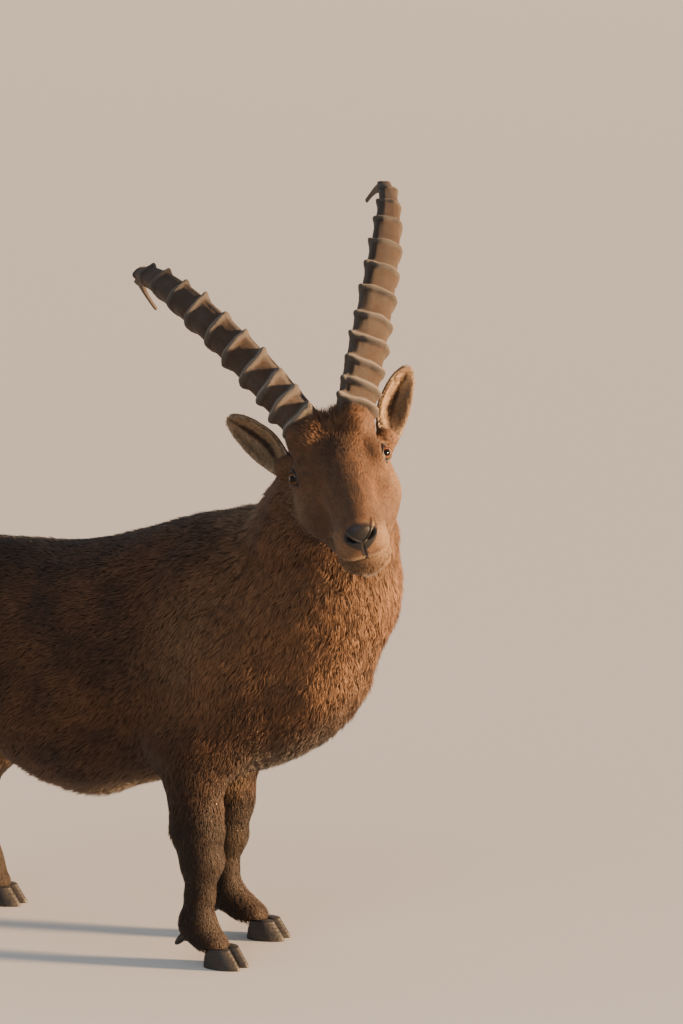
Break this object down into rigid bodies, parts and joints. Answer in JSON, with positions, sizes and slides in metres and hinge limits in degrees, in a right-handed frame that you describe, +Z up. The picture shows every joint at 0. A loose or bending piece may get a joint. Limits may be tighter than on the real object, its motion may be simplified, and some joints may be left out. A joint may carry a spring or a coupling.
{
  "type": "alpine ibex",
  "caption": "Life-size adult male alpine ibex in winter coat, standing square with its head turned to its right and long knobbed horns curving back.",
  "frame": {"origin": "on the floor, under the middle of the animal's bounding box", "axes": "+X the way the body faces, +Y the animal's left side, +Z up"},
  "size_m": [1.275, 0.7742, 1.4214],
  "materials": {
    "coat": "dense dark brown winter coat, matt",
    "face_coat": "short reddish-brown face hair, matt",
    "dark_coat": "short near-black leg hair, matt",
    "horn": "grey-brown horn, paler and rubbed on the knobs, dark in the grooves",
    "claw": "dark slate hoof, worn satin",
    "eye": "amber iris with a level dark pupil, wet gloss"
  },
  "bodies": {
    "root": {"torso": "coat", "neck": "coat", "head": "face_coat", "ear_left": "face_coat", "ear_right": "face_coat", "tail": "dark_coat", "horn_left": "horn", "horn_right": "horn", "eye_left": "eye", "eye_right": "eye", "leg_front_right": "dark_coat", "claw_front_right_outer": "claw", "dewclaw_front_right_outer": "claw", "claw_front_right_inner": "claw", "dewclaw_front_right_inner": "claw", "leg_front_left": "dark_coat", "claw_front_left_outer": "claw", "dewclaw_front_left_outer": "claw", "claw_front_left_inner": "claw", "dewclaw_front_left_inner": "claw", "leg_rear_right": "dark_coat", "claw_rear_right_outer": "claw", "dewclaw_rear_right_outer": "claw", "claw_rear_right_inner": "claw", "dewclaw_rear_right_inner": "claw", "leg_rear_left": "dark_coat", "claw_rear_left_outer": "claw", "dewclaw_rear_left_outer": "claw", "claw_rear_left_inner": "claw", "dewclaw_rear_left_inner": "claw"}
  },
  "joints": []
}
